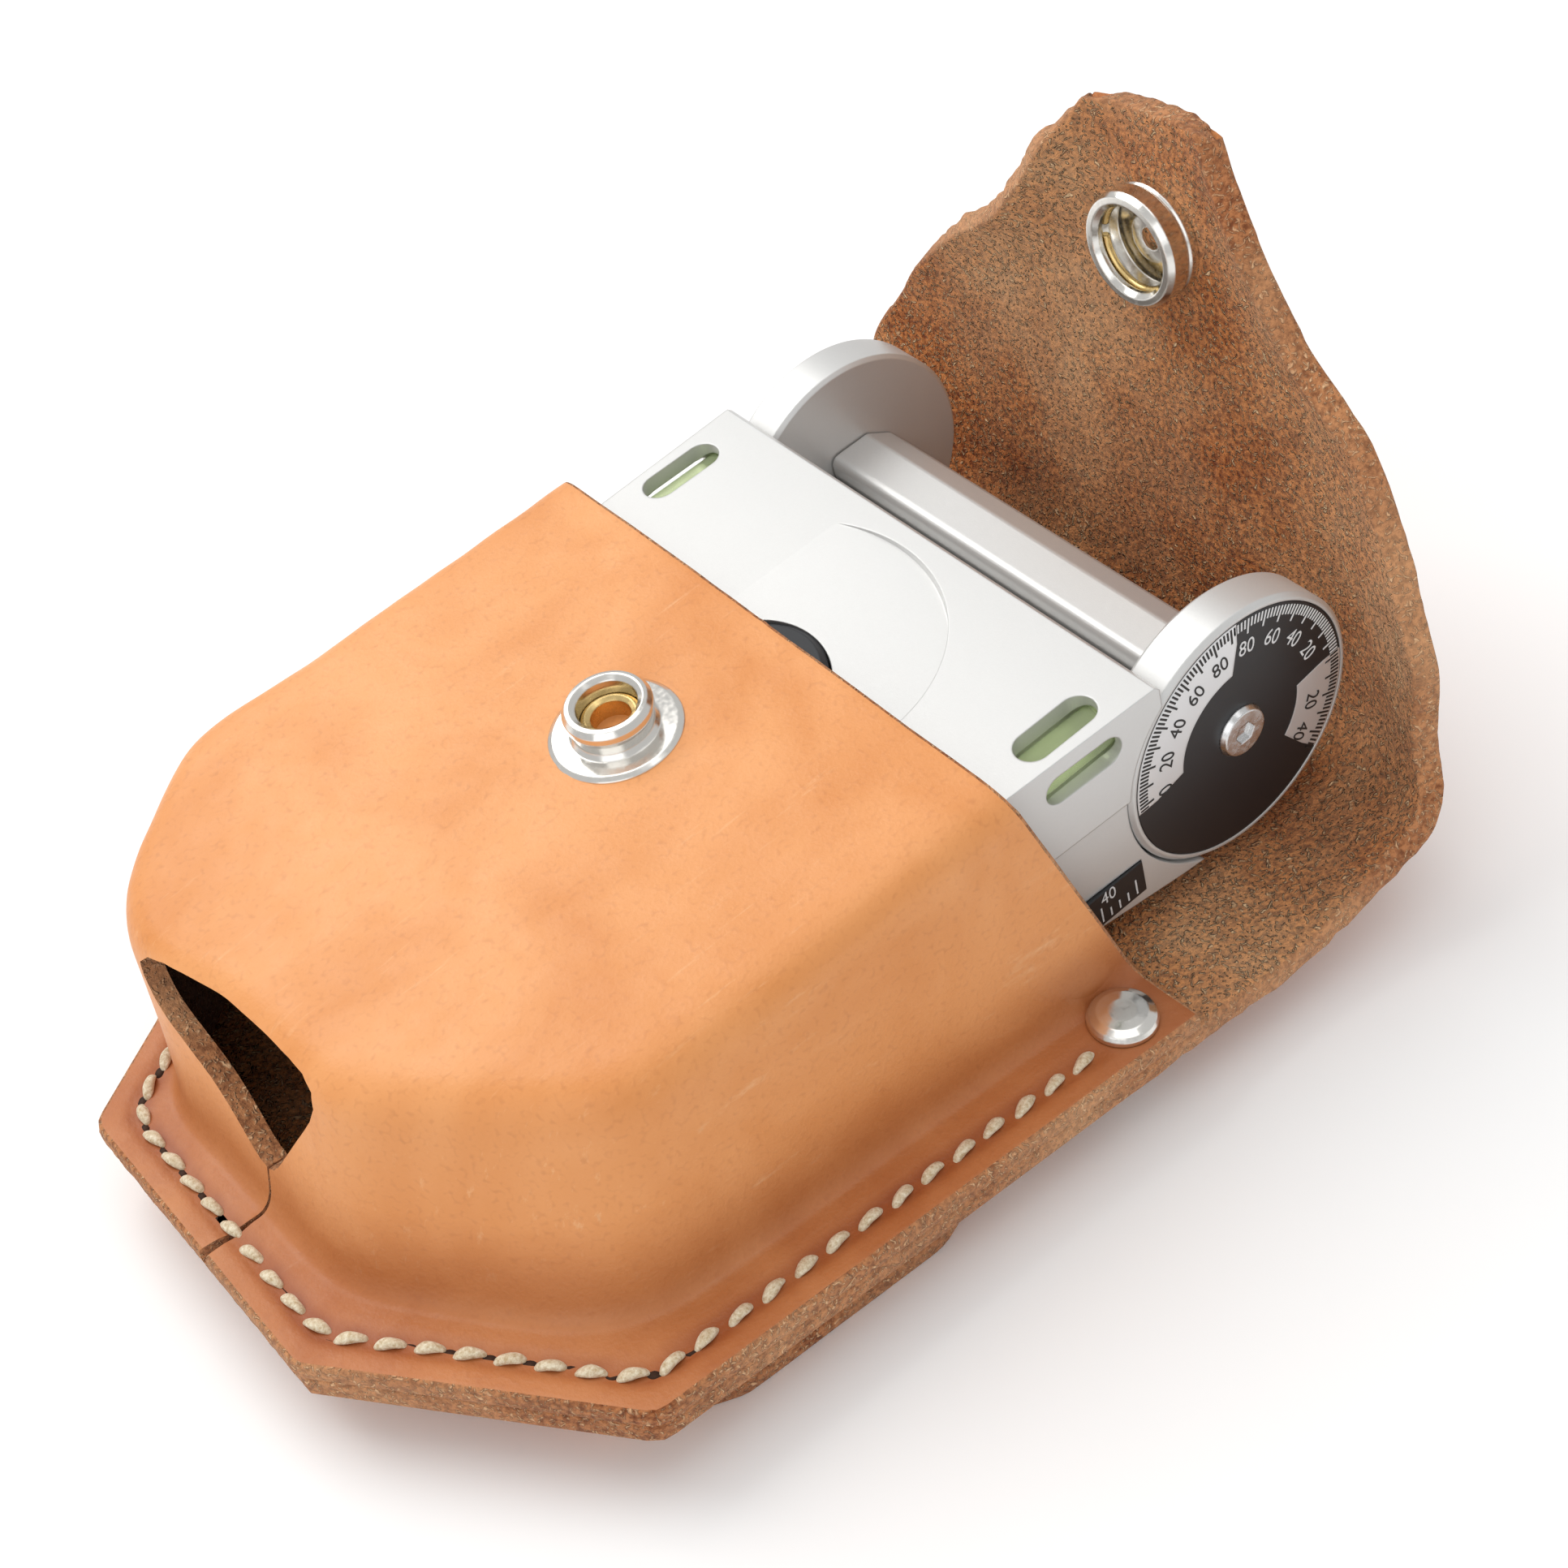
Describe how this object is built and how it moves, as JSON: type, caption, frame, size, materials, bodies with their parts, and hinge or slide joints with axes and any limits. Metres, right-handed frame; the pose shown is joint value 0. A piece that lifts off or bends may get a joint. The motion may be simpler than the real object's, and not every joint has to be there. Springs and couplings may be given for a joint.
{
  "type": "leather ever ready case",
  "caption": "Moulded leather belt case with a folding snap flap, holding a pocket compass that slides in and out of its mouth.",
  "frame": {"origin": "middle of the belt loop's outer face, the face the case rests on", "axes": "+X from the closed end to the mouth and flap, +Y to the left seen from the closed end, +Z out of the front face"},
  "size_m": [0.1508, 0.1052, 0.0865],
  "materials": {
    "leather": "vegetable-tanned grain, semi-gloss",
    "waxed_thread": "waxed",
    "nickel": "polished nickel plate",
    "brass": "bright",
    "satin_alloy": "bead-blasted",
    "steel": "satin",
    "black_plate": "satin black",
    "green_vial": "clear, green liquid",
    "mirror": "silvered",
    "clear_glass": "clear",
    "needle_steel": "satin"
  },
  "bodies": {
    "case": {"back_panel": "leather", "front_pocket": "leather", "stitching": "waxed_thread", "belt_loop": "leather", "loop_rivet_upper_left": "nickel", "loop_rivet_upper_right": "nickel", "loop_rivet_lower_left": "nickel", "loop_rivet_lower_right": "nickel", "tab_rivet_left": "nickel", "tab_rivet_right": "nickel", "tab_rivet_cap_left": "nickel", "tab_rivet_cap_right": "nickel", "stud_base": "nickel", "stud_eyelet": "brass"},
    "flap_end": {"flap_end": "leather"},
    "flap_tongue": {"flap_tongue": "leather", "socket_shell": "nickel", "socket_spring": "brass", "socket_eyelet": "nickel"},
    "transit": {"transit_base": "satin_alloy", "transit_lid": "satin_alloy", "hinge_block": "satin_alloy", "hinge_disc_left": "satin_alloy", "hinge_disc_right": "satin_alloy", "hinge_pin": "steel", "dial_plate": "black_plate", "dial_screw": "steel", "cover_plate": "satin_alloy", "blind_screw": "steel", "vial_left": "green_vial", "vial_right": "green_vial", "lid_knob": "black_plate", "base_scale": "black_plate", "mirror_glass": "mirror", "compass_glass": "clear_glass", "needle_pivot": "brass", "compass_needle": "needle_steel"}
  },
  "joints": [
    {"name": "flap_fold", "type": "hinge", "parent": "case", "child": "flap_end", "pos_m": [0.06443, 0, 0.0089], "axis": [0, -1, 0], "range_deg": [-25, 72.95]},
    {"name": "tongue_bend", "type": "hinge", "parent": "flap_end", "child": "flap_tongue", "pos_m": [0.1024, 0, 0.0435], "axis": [0, -1, 0], "range_deg": [-80, 24.36]},
    {"name": "transit_slide", "type": "slide", "parent": "case", "child": "transit", "axis": [-0.9972, 0, -0.0744], "range_m": [-0.0117, 0.0337]}
  ],
  "couplings": [
    {"joint": "transit_slide", "follows": "flap_fold", "m_per_rad": 0.026384}
  ]
}
